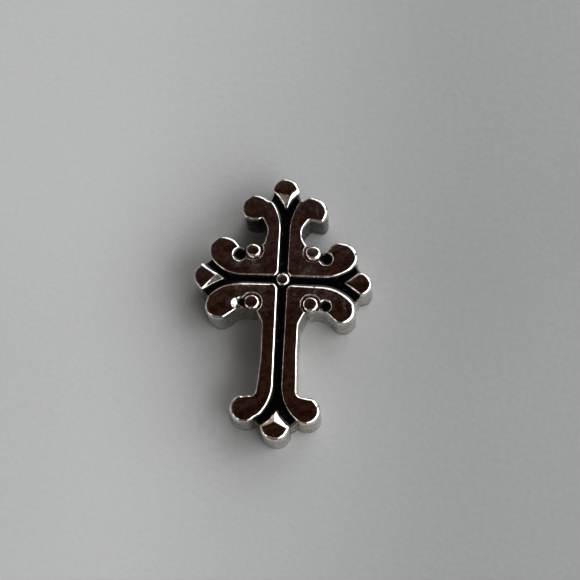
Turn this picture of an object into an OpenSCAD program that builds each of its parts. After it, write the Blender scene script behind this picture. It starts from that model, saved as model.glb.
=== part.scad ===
// Cross charm: a flat-backed silver casting, about as long as a fingernail is wide.
// Four raised scroll quarters and four shield-shaped buds stand round a cross-shaped
// channel. Black enamel fills the channel and the four small pits beside the studs.
// The charm lies on its back: +X is its right, +Y its top end, +Z points out of its face.

/* [Charm] */
// Height from the bottom bud to the top bud. Every other size is for a height of 11 mm
// and grows or shrinks with this one.
charm_h = 11.0; // [8:0.5:22]
// Thickness, from the flat back to the polished faces
charm_t = 1.8; // [1.2:0.1:3]

/* [Channel] */
// Half width of the upright channel
channel_half = 0.19; // [0.16:0.01:0.22]
// Upper edge of the level channel, above the middle of the arms
channel_up = 0.16; // [0.12:0.01:0.2]
// Lower edge of the level channel, below the middle of the arms
channel_down = 0.20; // [0.14:0.01:0.24]
// Depth of the bare channel below the polished faces
channel_depth = 0.45; // [0.35:0.05:0.7]

/* [Studs and pits] */
// Radius of the four small studs
stud_r = 0.295; // [0.24:0.005:0.32]
// Radius of the stud in the middle of the cross
middle_stud_r = 0.27; // [0.2:0.01:0.29]
// Width of the groove that is cut round each small stud
groove_w = 0.115; // [0.08:0.005:0.15]
// Depth of that groove
groove_depth = 0.13; // [0.05:0.01:0.2]
// Radius of the enamelled pit beside each small stud
pit_r = 0.27; // [0.22:0.005:0.3]

/* [Buds] */
// How far the sides of a bud are hollowed between its point and its corners
bud_hollow = 0.03; // [0.01:0.01:0.06]
// How far the point of each bud drops below the polished faces
bud_drop = 0.15; // [0.05:0.01:0.2]

/* [Enamel] */
// Depth of the enamel's surface below the polished faces
enamel_depth = 0.22; // [0.15:0.01:0.3]
// Clearance between the enamel and the metal, beside it and under it
enamel_gap = 0.012; // [0.01:0.001:0.02]

/* [Hidden] */

// The outlines are drawn at this height, round the middle of the arms, which stands
// arms_y above the middle of the height.
drawn_h = 11.0;
arms_y = 1.16;
floor_z = charm_t - channel_depth;
groove_z = charm_t - groove_depth;
enamel_z = charm_t - enamel_depth;

// How far a cutting shape runs past what it cuts, and how far out it ends
past = 0.25;
far_out = 4.8;
wedge_l = 2;
// How far the base plate's outline is tucked under the buds' corners
tuck = 0.035;
// Degrees along an arc between two points, and the fineness of true cylinders
arc_step = 9;
round_fn = 72;

// Columns of a point
X = 0;
Y = 1;

// Columns of an outline's rows: the centre of an arc, its radius, and the angles that it
// runs between. A corner is an arc of no radius.
CX = 0;
CY = 1;
R = 2;
FROM = 3;
TO = 4;
function corner(x, y) = [x, y, 0, 0, 0];

// Right half of the base plate's silhouette, clockwise from the top. Beside the studs it
// passes under them, and then along the open mouth of the pit.
HEAD_AND_CROOK = [
    [1.15, 3.00, 0.565, 137, -50],
    corner(1.33, 2.60),
    [0.99, 2.54, 0.095, 90, 145],
    [1.345, 2.02, 0.71, 146, 214],
    corner(0.88, 1.42),
];
UPPER_MOUTH = [
    corner(1.08, 1.36),
    corner(1.40, 1.19),
    corner(1.79, 1.19),
];
UPPER_SIDE_LOBE = [
    [2.42, 1.12, 0.58, 168, -18],
    corner(2.92, 0.78),
];
LOWER_SIDE_LOBE = [
    corner(2.956, -0.879),
    [2.50, -1.23, 0.52, 12, -106],
    corner(1.81, -1.27),
];
LOWER_MOUTH = [
    corner(1.78, -1.24),
    corner(1.36, -1.20),
    corner(1.05, -1.19),
];
STEM_AND_FOOT = [
    corner(0.88, -1.40),
    [1.00, -1.87, 0.30, 147, 180],
    corner(0.70, -3.20),
    corner(0.73, -4.10),
    [1.01, -4.67, 0.22, 176, 262],
    [1.24, -5.40, 0.53, 66, -133],
];

// The quarters' edges along the channel: straight stretches that flare out in wide arcs.
// The corner that each quarter turns to the middle stud is cut off.
CORNER_CUT = [0.17, 0.20];
FLARE_R = 1.90;
HEAD_FLARE_R = 1.50;
HEAD_FLARE_Y = 2.20;
UPPER_SIDE_FLARE_X = 1.60;
LOWER_SIDE_FLARE_X = 1.50;
FOOT_FLARE_Y = -4.35;

// Columns of the buds: where the point is, which way the bud looks, its length from the
// point to the round end, how far out and how far aside its corners are, and how far from
// the point its flat cap begins.
TURN = 2;
LENGTH = 3;
OUT = 4;
ASIDE = 5;
CAP_FROM = 6;
TOP_BUD = [0, 3.03, 90, 1.31, 0.74, 0.53, 0.62];
RIGHT_BUD = [2.50, 0, 0, 1.12, 0.75, 0.55, 0.16];
LEFT_BUD = [-2.50, 0, 180, 1.12, 0.75, 0.55, 0.41];
BOTTOM_BUD = [0, -5.38, -90, 1.28, 0.66, 0.56, 0.45];
BUDS = [TOP_BUD, RIGHT_BUD, LEFT_BUD, BOTTOM_BUD];
bud_side_steps = 4;

// Columns of the small studs, which are drawn for the right side: the middle of the stud,
// the middle of the pit beside it, and the height at which the silhouette opens the pit.
STUD_X = 0;
STUD_Y = 1;
PIT_X = 2;
PIT_Y = 3;
MOUTH_Y = 4;
UPPER_STUD = [1.22, 1.20, 1.775, 1.02, UPPER_MOUTH[1][CY]];
LOWER_STUD = [1.19, -1.00, 1.77, -1.02, LOWER_MOUTH[0][CY]];
SMALL_STUDS = [UPPER_STUD, LOWER_STUD];
MIDDLE_STUD = [0, 0.02];

// Points of an arc, with its radius grown, or the one point of a corner.
function arc(row, grow = 0) = row[R] == 0 ? [[row[CX], row[CY]]] :
    let (n = ceil(abs(row[TO] - row[FROM]) / arc_step))
    [for (i = [0:n]) let (a = row[FROM] + (row[TO] - row[FROM]) * i / n)
        [row[CX] + (row[R] + grow) * cos(a), row[CY] + (row[R] + grow) * sin(a)]];
function run(rows, grow = 0) = [for (row = rows) each arc(row, grow)];
function last(points) = points[len(points) - 1];
function but_ends(points) = [for (i = [1:len(points) - 2]) points[i]];
function reversed(points) = [for (i = [len(points) - 1:-1:0]) points[i]];
function mirrored(points) = [for (p = reversed(points)) [-p[X], p[Y]]];
function flipped(points) = [for (p = points) [p[X], -p[Y]]];
function placed(points, bud) = [for (p = points) [
    bud[X] + p[X] * cos(bud[TURN]) - p[Y] * sin(bud[TURN]),
    bud[Y] + p[X] * sin(bud[TURN]) + p[Y] * cos(bud[TURN])]];

// One hollowed side of a bud that looks along +X, from its point to its corner or, with a
// reach under 1, not quite so far. The centre of its arc lies outside the bud. When the
// side is moved out by grow, the sharp point moves further out than the side does.
point_slack = 1.7;
function bud_side(bud, grow = 0, reach = 1) =
    let (c = [bud[OUT], bud[ASIDE]], chord = norm(c),
         r = chord * chord / (8 * bud_hollow) + bud_hollow / 2,
         centre = c / 2 + (r - bud_hollow) * [-c[Y], c[X]] / chord,
         from = atan2(-centre[Y], -centre[X]),
         to = atan2(c[Y] - centre[Y], c[X] - centre[X]))
    [for (i = [0:bud_side_steps]) let (a = from + (to - from) * reach * i / bud_side_steps)
        i == 0 ? [-point_slack * grow, 0] : centre + (r - grow) * [cos(a), sin(a)]];
// The round end of a bud, from one corner through its outermost point to the other.
function bud_end(bud) =
    let (c = [bud[OUT], bud[ASIDE]],
         middle = (pow(bud[LENGTH], 2) - c * c) / (2 * (bud[LENGTH] - c[X])),
         a = atan2(c[Y], c[X] - middle))
    arc([middle, 0, bud[LENGTH] - middle, a, -a]);
function bud_outline(bud) = placed(concat(
    [[0, 0]], but_ends(bud_side(bud)), bud_end(bud),
    reversed(but_ends(flipped(bud_side(bud))))), bud);
function tucked_corners(bud) = placed(
    [for (side = [1, -1]) [bud[OUT] + tuck, side * (bud[ASIDE] - tuck)]], bud);

function plate_side() = concat(
    run(HEAD_AND_CROOK), run(UPPER_MOUTH), run(UPPER_SIDE_LOBE), tucked_corners(RIGHT_BUD),
    run(LOWER_SIDE_LOBE), run(LOWER_MOUTH), run(STEM_AND_FOOT));
function plate_outline() = concat(
    tucked_corners(TOP_BUD), plate_side(), tucked_corners(BOTTOM_BUD),
    mirrored(plate_side()));

// The quarters' edges on the right side, clockwise. grow moves them into the channel.
function head_edge(grow = 0) = concat(
    run([[channel_half + HEAD_FLARE_R, HEAD_FLARE_Y, HEAD_FLARE_R, 136, 180]], grow),
    [[channel_half - grow, channel_up + CORNER_CUT[Y]]]);
function upper_side_edge(grow = 0) = concat(
    [[channel_half + CORNER_CUT[X], channel_up - grow]],
    run([[UPPER_SIDE_FLARE_X, channel_up + FLARE_R, FLARE_R, 270, 308]], grow));
function lower_side_edge(grow = 0) = concat(
    run([[LOWER_SIDE_FLARE_X, -channel_down - FLARE_R, FLARE_R, 42, 90]], grow),
    [[channel_half + CORNER_CUT[X], -channel_down + grow]]);
function foot_edge(grow = 0) = concat(
    [[channel_half - grow, -channel_down - CORNER_CUT[Y]]],
    run([[channel_half + FLARE_R, FOOT_FLARE_Y, FLARE_R, 180, 223]], grow));

// Where each quarter's edge leaves the silhouette, and the bud's corner beside it.
function head_end() = run(HEAD_AND_CROOK)[0];
function upper_side_end() = last(run(UPPER_SIDE_LOBE));
function lower_side_end() = run(LOWER_SIDE_LOBE)[0];
function foot_end() = last(run(STEM_AND_FOOT));
function left_hand(a, b) = [a[Y] - b[Y], b[X] - a[X]] / norm(b - a);
function beyond(a, b) = (a + b) / 2 + past * left_hand(a, b);

// The shape that cuts the channel. It takes in the buds' places and runs off the plate.
function cutting_side() =
    let (top_corner = last(placed(flipped(bud_side(TOP_BUD)), TOP_BUD)),
         upper_corner = last(placed(bud_side(RIGHT_BUD), RIGHT_BUD)),
         lower_corner = last(placed(flipped(bud_side(RIGHT_BUD)), RIGHT_BUD)),
         bottom_corner = last(placed(bud_side(BOTTOM_BUD), BOTTOM_BUD)),
         top = beyond(top_corner, head_end()),
         upper = beyond(upper_side_end(), upper_corner),
         lower = beyond(lower_corner, lower_side_end()),
         bottom = beyond(foot_end(), bottom_corner))
    concat(
        [[top[X], far_out], top, head_end()], head_edge(), upper_side_edge(),
        [upper_side_end(), upper, [far_out, upper[Y]],
         [far_out, lower[Y]], lower, lower_side_end()],
        lower_side_edge(), foot_edge(), [foot_end(), bottom, [bottom[X], -2 * far_out]]);
function cutting_outline() = concat(cutting_side(), mirrored(cutting_side()));

// The enamel's shape in the channel. It follows the quarters and the buds' sides at the
// clearance. Its ends cross the channel's mouths just inside the silhouette: mouth_point
// is the corner of such an end beside the quarter at a, with the bud at b.
enamel_reach = 0.96;
function mouth_point(a, b, out) =
    a + 2 * enamel_gap * (b - a) / norm(b - a) - 1.5 * enamel_gap * out;
function enamel_side() =
    let (g = enamel_gap,
         top = placed(flipped(bud_side(TOP_BUD, g, enamel_reach)), TOP_BUD),
         upper = placed(reversed(bud_side(RIGHT_BUD, g, enamel_reach)), RIGHT_BUD),
         lower = placed(flipped(bud_side(RIGHT_BUD, g, enamel_reach)), RIGHT_BUD),
         bottom = placed(reversed(bud_side(BOTTOM_BUD, g, enamel_reach)), BOTTOM_BUD))
    concat(
        top, [mouth_point(head_end(), last(top), left_hand(last(top), head_end()))],
        head_edge(g), upper_side_edge(g),
        [mouth_point(upper_side_end(), upper[0], left_hand(upper_side_end(), upper[0]))],
        upper, but_ends(lower), [last(lower)],
        [mouth_point(lower_side_end(), last(lower),
                     left_hand(last(lower), lower_side_end()))],
        lower_side_edge(g), foot_edge(g),
        [mouth_point(foot_end(), bottom[0], left_hand(foot_end(), bottom[0]))], bottom);
function enamel_outline() = concat(enamel_side(), mirrored(but_ends(enamel_side())));

module on_charm() {
    scale(charm_h / drawn_h) translate([0, arms_y, 0]) children();
}

module upright(radius, height = charm_t) {
    cylinder(r = radius, h = height, $fn = round_fn);
}

// The two soft facets that slope from a bud's flat cap down to its point. Each wedge lies
// along the line from the start of the cap to one corner.
module bud_facets(bud) {
    for (side = [1, -1]) {
        along = [bud[OUT] - bud[CAP_FROM], side * bud[ASIDE]];
        across = bud[CAP_FROM] * bud[ASIDE] / norm(along);
        reach = across + past;
        translate([bud[CAP_FROM], 0, charm_t])
            rotate([0, 0, atan2(along[Y], along[X])]) translate([-wedge_l / 2, 0, 0])
                rotate([90, 0, 90]) linear_extrude(wedge_l)
                    polygon([[0, 0], [side * reach, -bud_drop * reach / across],
                             [side * reach, past], [0, past]]);
    }
}

// One bud, from the back of the charm to its face
module bud(row) {
    difference() {
        linear_extrude(charm_t) polygon(bud_outline(row));
        translate([row[X], row[Y], 0]) rotate([0, 0, row[TURN]]) bud_facets(row);
    }
}

// Base plate and scroll quarters, before the buds and studs are added
module quarters() {
    difference() {
        linear_extrude(charm_t) polygon(plate_outline());
        translate([0, 0, floor_z]) linear_extrude(charm_t) polygon(cutting_outline());
        for (side = [1, -1], row = SMALL_STUDS) {
            translate([side * row[STUD_X], row[STUD_Y], groove_z]) upright(stud_r + groove_w);
            translate([side * row[PIT_X], row[PIT_Y], floor_z]) upright(pit_r);
        }
    }
}

// The whole casting in one solid
module cast_cross() {
    color("silver") on_charm() union() {
        quarters();
        for (row = BUDS) bud(row);
        for (side = [1, -1], row = SMALL_STUDS)
            translate([side * row[STUD_X], row[STUD_Y], 0]) upright(stud_r);
        translate(MIDDLE_STUD) upright(middle_stud_r);
    }
}

// Black enamel in the cross-shaped channel, round the middle stud
module channel_enamel() {
    color("#0b0b0d") on_charm() difference() {
        translate([0, 0, floor_z + enamel_gap])
            linear_extrude(enamel_z - floor_z - enamel_gap) polygon(enamel_outline());
        translate(MIDDLE_STUD) upright(middle_stud_r + enamel_gap);
    }
}

// Black enamel in one pit, up to the stud beside it and to the pit's open mouth
module pit_enamel(row, side) {
    out = sign(row[STUD_Y]);
    color("#0b0b0d") on_charm() scale([side, 1, 1]) difference() {
        translate([row[PIT_X], row[PIT_Y], floor_z + enamel_gap])
            upright(pit_r - enamel_gap, enamel_z - floor_z - enamel_gap);
        translate([row[STUD_X], row[STUD_Y], 0]) upright(stud_r + enamel_gap);
        translate([row[PIT_X], row[MOUTH_Y] + out * (pit_r - enamel_gap), charm_t / 2])
            cube([4 * pit_r, 2 * pit_r, charm_t], center = true);
    }
}

cast_cross();
channel_enamel();
pit_enamel(UPPER_STUD, 1);  // pit_enamel_upper_right
pit_enamel(UPPER_STUD, -1);  // pit_enamel_upper_left
pit_enamel(LOWER_STUD, 1);  // pit_enamel_lower_right
pit_enamel(LOWER_STUD, -1);  // pit_enamel_lower_left
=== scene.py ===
# %% [markdown]
# # A cast cross charm, polished and filled with black enamel
#
# The real charm is a little longer than a fingernail is wide. A maker casts it in one
# piece, tumbles it until its edges are soft, polishes its faces to a mirror, and lets
# black enamel flow into the cross-shaped channel and the four small pits.
#
# A measured model of the charm is already there as a fixed frame. This lesson dresses it:
# every surface is worked out with numpy from a few arcs, in millimetres, and put into the
# frame's place. The frame's size is kept.

# %% Open the frame
import math

import bpy
import numpy as np
from mathutils import Matrix, Vector
from mathutils.geometry import delaunay_2d_cdt


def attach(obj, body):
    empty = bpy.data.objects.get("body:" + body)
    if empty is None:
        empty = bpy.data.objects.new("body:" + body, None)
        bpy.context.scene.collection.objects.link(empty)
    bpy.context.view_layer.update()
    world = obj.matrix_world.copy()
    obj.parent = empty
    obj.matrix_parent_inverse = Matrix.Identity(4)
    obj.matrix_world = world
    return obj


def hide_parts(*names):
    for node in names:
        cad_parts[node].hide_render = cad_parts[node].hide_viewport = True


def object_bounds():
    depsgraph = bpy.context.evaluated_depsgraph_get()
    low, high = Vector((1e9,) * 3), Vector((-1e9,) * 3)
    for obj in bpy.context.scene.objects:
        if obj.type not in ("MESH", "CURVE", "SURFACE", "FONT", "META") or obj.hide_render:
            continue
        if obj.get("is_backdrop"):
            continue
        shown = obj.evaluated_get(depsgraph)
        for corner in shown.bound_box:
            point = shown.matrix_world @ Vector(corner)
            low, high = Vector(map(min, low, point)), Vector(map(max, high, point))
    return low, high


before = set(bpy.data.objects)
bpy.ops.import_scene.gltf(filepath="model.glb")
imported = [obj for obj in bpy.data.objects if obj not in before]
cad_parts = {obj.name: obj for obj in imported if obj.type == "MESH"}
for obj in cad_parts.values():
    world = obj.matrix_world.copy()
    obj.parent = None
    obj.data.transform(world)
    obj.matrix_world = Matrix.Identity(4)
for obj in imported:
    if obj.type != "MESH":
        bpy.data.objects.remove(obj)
cad_box = [list(corner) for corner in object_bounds()]

MM = 0.001
# The middle stud from the frame's origin, in millimetres. All later numbers start there.
STUD_AT = np.array([0.0, 1.16, 0.0])
FACE_Z = 1.8
print("nodes to dress:", sorted(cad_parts))

# %% [markdown]
# ## The camera comes first
#
# A photograph tells where it was taken from. All upright edges in it point at one spot, the
# one straight below the camera. Here that spot lies 99 pixels right of the picture's middle
# and 530 below it, and the lens is as long as 1800 pixels. That gives the tilt. The cross
# leans 3 degrees in the picture, which gives the turn. The distance then follows from the
# size of the charm in the picture.
#
# A camera could also be turned by hand until it looks right. It is worked out here, because
# a camera that is a degree off would make every outline look wrong.

# %% The camera's axes
LENS_PX = 1800
SPOT_BELOW_PX = (99, 530)
LEAN = math.radians(3.06)


def unit(v):
    """A vector divided by its own length."""
    v = np.asarray(v, float)
    return v / np.linalg.norm(v)


# The world's axes as the camera sees them: right, down and ahead in the picture.
up = -unit([*SPOT_BELOW_PX, LENS_PX])
right = np.array([math.cos(LEAN), math.sin(LEAN), 0.0])
right = unit(right - up * (right @ up))
axes = np.array([right, np.cross(up, right), up])
print("tilt", round(math.degrees(math.acos(-axes[2, 2])), 1), "degrees")

# %% The camera
PICTURE_PX, SENSOR_MM = 580, 36.0
CAMERA_FROM_STUD = np.array([5.07, -20.83, 69.9])
NEAR_M, FAR_M = 0.002, 20.0

camera_data = bpy.data.cameras.new("camera")
camera_data.sensor_width = SENSOR_MM
camera_data.lens = SENSOR_MM * LENS_PX / PICTURE_PX
camera_data.clip_start, camera_data.clip_end = NEAR_M, FAR_M
camera = bpy.data.objects.new("camera", camera_data)
turned = Matrix(np.c_[axes[:, 0], -axes[:, 1], -axes[:, 2]].tolist()).to_4x4()
camera.matrix_world = Matrix.Translation(
    (CAMERA_FROM_STUD + STUD_AT + [0, 0, FACE_Z]) * MM) @ turned
bpy.context.scene.collection.objects.link(camera)
bpy.context.scene.camera = camera
print("lens", round(camera_data.lens, 1), "mm,", round(np.linalg.norm(CAMERA_FROM_STUD), 1),
      "mm from the middle stud")

# %% [markdown]
# ## Outlines from arcs
#
# A carver draws scrolls with a compass, and so does this lesson. Every row below is one arc:
# its centre, its radius, the angles that it runs between, and how softly the edge above it
# is rounded. A row with no radius is a corner. The numbers are millimetres from the middle
# stud.
#
# Bezier curves could draw the same outlines. Arcs were chosen because each number in a row
# can be measured on the real thing, and read again later.

# %% Corners and roundings
# How far an edge is rounded, in millimetres, from the most worn to the crispest.
SOFT, EVEN, THIN, CRISP = 0.18, 0.09, 0.065, 0.04
# Half of the channel's width.
HALF = 0.19


def corner(x, y, rim=EVEN):
    """A row of a table for a single point: an arc with no radius."""
    return [x, y, 0.0, 0.0, 0.0, rim]


print("channel", 2 * HALF, "mm wide, edges rounded by", CRISP, "to", SOFT, "mm")

# %% The right scrolls
UPPER_RIGHT = [
    [HALF + 2.40, 2.10, 2.40, 146, 180, CRISP],
    corner(HALF, 0.32, CRISP), corner(HALF + 0.13, 0.15),
    [1.60, 2.05, 1.90, 270, 308, EVEN],
    corner(2.97, 0.80, 0.15),
    [2.42, 1.07, 0.61, -18, 5, 0.15], [2.42, 1.07, 0.61, 20, 80, SOFT],
    [2.33, 1.10, 0.57, 98, 168, THIN],
    corner(1.76, 1.20, CRISP), corner(1.60, 1.19, CRISP),
    corner(1.36, 1.25, CRISP), corner(1.12, 1.40, CRISP), corner(0.93, 1.46),
    [1.345, 2.02, 0.66, 214, 146, THIN],
    [1.00, 2.52, 0.09, 145, 90, THIN],
    corner(1.35, 2.54),
    [1.12, 2.99, 0.60, -50, 5, 0.15], [1.12, 2.99, 0.60, 18, 85, SOFT],
    [1.12, 2.99, 0.60, 98, 138, THIN],
]
LOWER_RIGHT = [
    [1.50, -2.10, 1.90, 42, 90, 0.13],
    corner(HALF + 0.14, -0.20), corner(HALF, -0.36, CRISP),
    [HALF + 1.91, -4.35, 1.91, 180, 222, CRISP],
    [1.22, -5.38, 0.57, -133, -85, EVEN], [1.22, -5.38, 0.57, -65, 3, 0.15],
    [1.22, -5.38, 0.57, 18, 66, SOFT],
    [1.03, -4.62, 0.22, 262, 176, EVEN],
    corner(0.78, -4.10, THIN), corner(0.74, -3.20, THIN),
    [1.05, -1.90, 0.31, 180, 147, THIN],
    corner(0.93, -1.45), corner(1.05, -1.24, CRISP), corner(1.36, -1.24, CRISP),
    corner(1.72, -1.27, CRISP), corner(1.84, -1.31, CRISP),
    [2.48, -1.23, 0.54, -112, -85, EVEN], [2.48, -1.23, 0.54, -70, 12, SOFT],
    corner(2.96, -0.885, SOFT),
]
print("rows:", len(UPPER_RIGHT), "upper right,", len(LOWER_RIGHT), "lower right")

# %% [markdown]
# The wax was carved by hand, so the left scrolls aren't the right ones mirrored: their
# heads sit a little higher, their bends are tighter, and most of their edges are less worn.
# They have rows of their own, which are drawn on the right as well, because that is easier
# to compare, and mirrored afterwards.

# %% The left scrolls
UPPER_LEFT = [
    [HALF + 2.05, 2.10, 2.05, 142, 165, CRISP], [HALF + 2.05, 2.10, 2.05, 172, 180, THIN],
    corner(HALF, 0.32, THIN), corner(HALF + 0.12, 0.17),
    [1.70, 1.67, 1.51, 270, 324, THIN],
    [2.42, 1.17, 0.62, -14, 75, THIN], [2.42, 1.17, 0.62, 90, 160, 0.15],
    corner(1.81, 1.36, CRISP), corner(1.69, 1.27, CRISP),
    corner(1.45, 1.30, CRISP), corner(1.15, 1.44, CRISP), corner(0.92, 1.47),
    corner(0.80, 1.60, THIN), [1.37, 2.05, 0.65, 205, 142, THIN],
    [0.97, 2.56, 0.06, 160, 90, THIN],
    corner(1.12, 2.53), corner(1.36, 2.53),
    [1.20, 3.02, 0.60, -42, -10, EVEN], [1.20, 3.02, 0.60, 5, 80, THIN],
    [1.20, 3.02, 0.60, 95, 140, 0.15],
]
LOWER_LEFT = [
    [1.60, -2.00, 1.85, 42, 66, THIN], [1.60, -2.00, 1.85, 76, 90, 0.13],
    corner(HALF + 0.14, -0.16), corner(HALF, -0.33),
    [HALF + 1.86, -4.35, 1.90, 180, 222, EVEN],
    [1.28, -5.37, 0.58, -140, -70, EVEN], [1.28, -5.37, 0.58, -55, 62, 0.20],
    corner(1.20, -4.84), [1.08, -4.62, 0.24, 250, 180, EVEN],
    corner(0.77, -4.10, THIN), corner(0.72, -3.20, THIN), corner(0.73, -2.50, THIN),
    [1.05, -1.90, 0.31, 180, 147, THIN],
    corner(0.93, -1.46), corner(1.05, -1.24, CRISP), corner(1.36, -1.24, CRISP),
    corner(1.70, -1.26, CRISP), corner(1.85, -1.31, CRISP),
    [2.53, -1.17, 0.57, -115, -70, 0.15], [2.53, -1.17, 0.57, -50, 8, 0.13],
    corner(3.00, -0.84, THIN),
]
# A quarter's name, its rows, and the side that it lies on: 1 is right, -1 is left.
QUARTERS = [("upper_right", UPPER_RIGHT, 1), ("upper_left", UPPER_LEFT, -1),
            ("lower_left", LOWER_LEFT, -1), ("lower_right", LOWER_RIGHT, 1)]
print("rows:", len(UPPER_LEFT), "upper left,", len(LOWER_LEFT), "lower left")

# %% [markdown]
# ## Even steps, then the tumbler
#
# A chain of arcs has kinks where two arcs meet. On the real charm the tumbler wears them
# away. Here the outline is first cut into equal steps along its length, and then every
# point is averaged with its neighbours under a bell curve, which rounds a kink and leaves a
# long curve as it was. The rounding of the edge changes more slowly along the way, so it is
# averaged under a wider bell.
#
# A Bevel modifier would round the kinks as well, but by the same amount everywhere. A bell
# rounds a sharp kink more than a blunt one, as wear does.

# %% Outlines
STEP = 0.03
ARC_STEP = 0.4
TUMBLE, RIM_TUMBLE = 0.035, 0.11


def averaged(values, step, width):
    """Values round a closed loop, each blended with its neighbours under a bell curve of
    the given width: their waves are damped by exp(-2 (pi * frequency * width)^2)."""
    waves = np.fft.fftfreq(len(values), step)
    bell = np.exp(-2 * (math.pi * waves * width) ** 2)
    return np.fft.ifft(np.fft.fft(values, axis=0) * bell[:, None], axis=0).real


def evenly(points, step):
    """Points, and any columns beside them, at equal steps along a closed chain."""
    chain = np.vstack([points, points[:1]])
    along = np.r_[0, np.cumsum(np.linalg.norm(np.diff(chain[:, :2], axis=0), axis=1))]
    count = int(round(along[-1] / step))
    at = np.linspace(0, along[-1], count, endpoint=False)
    return np.stack([np.interp(at, along, column) for column in chain.T], axis=1)


def chained(rows):
    """The points of a table, with the edge's rounding in the third column. An arc's points
    are its centre plus its radius times (cos, sin) of the angle."""
    chain = []
    for x, y, radius, start, end, rim in rows:
        count = 1 + int(abs(end - start) * radius / ARC_STEP)
        turn = np.radians(np.linspace(start, end, count))
        chain.append(np.c_[x + radius * np.cos(turn), y + radius * np.sin(turn),
                           np.full(count, rim)])
    return np.vstack(chain)


def outline(rows, side=1, step=STEP, width=TUMBLE):
    """A smooth closed outline from a table. The left side is the mirror image, turned
    round, so that both run anticlockwise."""
    points = averaged(evenly(chained(rows), step), step, width)
    points[:, 2] = averaged(points[:, 2:], step, RIM_TUMBLE)[:, 0]
    return points if side > 0 else points[::-1] * [-1, 1, 1]


outlines = {name: outline(rows, side) for name, rows, side in QUARTERS}
print("points:", {name: len(loop) for name, loop in outlines.items()})

# %% [markdown]
# ## How much rounding there is room for
#
# The rounding of an edge eats into the face. In a sharp inner bend, such as the crook of a
# scroll, a wide rounding would run into itself, and on the real charm the tumbler's grains
# don't reach in there either. So the rounding shrinks where the bend is tight.
#
# That could be done by hand, with a number for each bend. It is measured instead: the
# outline is moved in, and wherever it folds over, the rounding gives way.

# %% Roundings that fit
# The outline is moved in by the rounding times this, so that a little face is left.
ROOM = 1.12
# A step of the moved outline keeps at least this share of its length.
SHORTEST = 0.12
SHRINK, NEIGHBOURS, TRIES, EASE = 0.9, 4, 60, 0.02


def outward(points):
    """Unit vectors square to a closed outline that runs anticlockwise, pointing out of it:
    the step from the last point to the next one, turned a quarter to the right."""
    ahead = np.roll(points, -1, axis=0) - np.roll(points, 1, axis=0)
    ahead = ahead[:, :2] / np.linalg.norm(ahead[:, :2], axis=1, keepdims=True)
    return np.c_[ahead[:, 1], -ahead[:, 0]]


def roundable(points, step=STEP):
    """The rounding that an outline's corners leave room for. The outline is moved in by the
    rounding and a little more. Wherever a step of it then turns back on itself, the
    rounding shrinks there and is eased into its neighbours, until no step turns back."""
    rim, out = points[:, 2], outward(points)
    ahead = np.roll(points[:, :2], -1, axis=0) - points[:, :2]
    for _ in range(TRIES):
        moved = points[:, :2] - ROOM * rim[:, None] * out
        step_in = np.roll(moved, -1, axis=0) - moved
        tight = (step_in * ahead).sum(axis=1) < SHORTEST * (ahead ** 2).sum(axis=1)
        if not tight.any():
            break
        near = np.any([np.roll(tight, k) for k in range(-NEIGHBOURS, NEIGHBOURS + 1)], axis=0)
        rim = averaged(np.where(near, SHRINK * rim, rim)[:, None], step, EASE)[:, 0]
    return rim


for name, loop in outlines.items():
    fits = roundable(loop)
    print(name, "roundings", fits.min().round(3), "to", fits.max().round(3), "mm")

# %% [markdown]
# ## From rings to a solid
#
# A ring is one copy of an outline at its own height. Rings of equal length are tied by a
# band of four-sided faces, the last ring is closed by one flat face, and the first by a
# lid. The result is a closed skin, as a casting needs: its volume can be measured, and
# solids can be joined and cut.
#
# Extruding and bevelling in Blender gives such skins too. Rings worked out as whole arrays
# are quicker, and a formula says exactly where each point is.

# %% Skins
def new_piece(name, points, faces):
    """A mesh object from points in millimetres round the middle stud."""
    mesh = bpy.data.meshes.new(name)
    mesh.from_pydata(((np.asarray(points) + STUD_AT) * MM).tolist(), [], faces)
    mesh.validate()
    piece = bpy.data.objects.new(name, mesh)
    bpy.context.scene.collection.objects.link(piece)
    return piece


def banded(count, size):
    """Four-sided faces between neighbouring rings: point k of a ring goes with point k + 1
    and with the same two points of the next ring."""
    k, start = np.arange(size), np.arange(count - 1)[:, None] * size
    here, on = start + k, start + (k + 1) % size
    return np.stack([here, here + size, on + size, on], axis=-1).reshape(-1, 4).tolist()


def skin(name, rings, lid=None):
    """A closed skin from anticlockwise rings, top ring first. The lid is a pair: the points
    inside the first ring, and triangles that count the ring's points first."""
    count, size = rings.shape[:2]
    points, faces = rings.reshape(-1, 3), banded(count, size)
    faces.append(list(range((count - 1) * size, count * size))[::-1])
    if lid is None:
        faces.append(list(range(size)))
    else:
        inner, triangles = lid
        triangles = np.where(triangles < size, triangles, triangles - size + len(points))
        points = np.vstack([points, inner])
        faces += triangles.tolist()
    return new_piece(name, points, faces)


print("two rings of 4 points are tied by the faces", banded(2, 4))

# %% Volume, and a test on a can
def volume(piece):
    """The volume inside a closed skin, in cubic millimetres: the sum over its triangles of
    corner . (corner x corner) / 6, which is positive when the faces point outwards."""
    mesh = piece.data
    mesh.calc_loop_triangles()
    corners = np.empty(len(mesh.loop_triangles) * 3, int)
    mesh.loop_triangles.foreach_get("vertices", corners)
    at = np.empty(len(mesh.vertices) * 3)
    mesh.vertices.foreach_get("co", at)
    a, b, c = at.reshape(-1, 3)[corners.reshape(-1, 3)].transpose(1, 0, 2) / MM
    return float((a * np.cross(b, c)).sum() / 6)


AROUND = np.linspace(0, 2 * math.pi, 72, endpoint=False)


def ring_round(at, radius, turn=AROUND):
    """Points on a circle: centre + r (cos a, sin a)."""
    return np.c_[at[0] + radius * np.cos(turn), at[1] + radius * np.sin(turn)]


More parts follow.
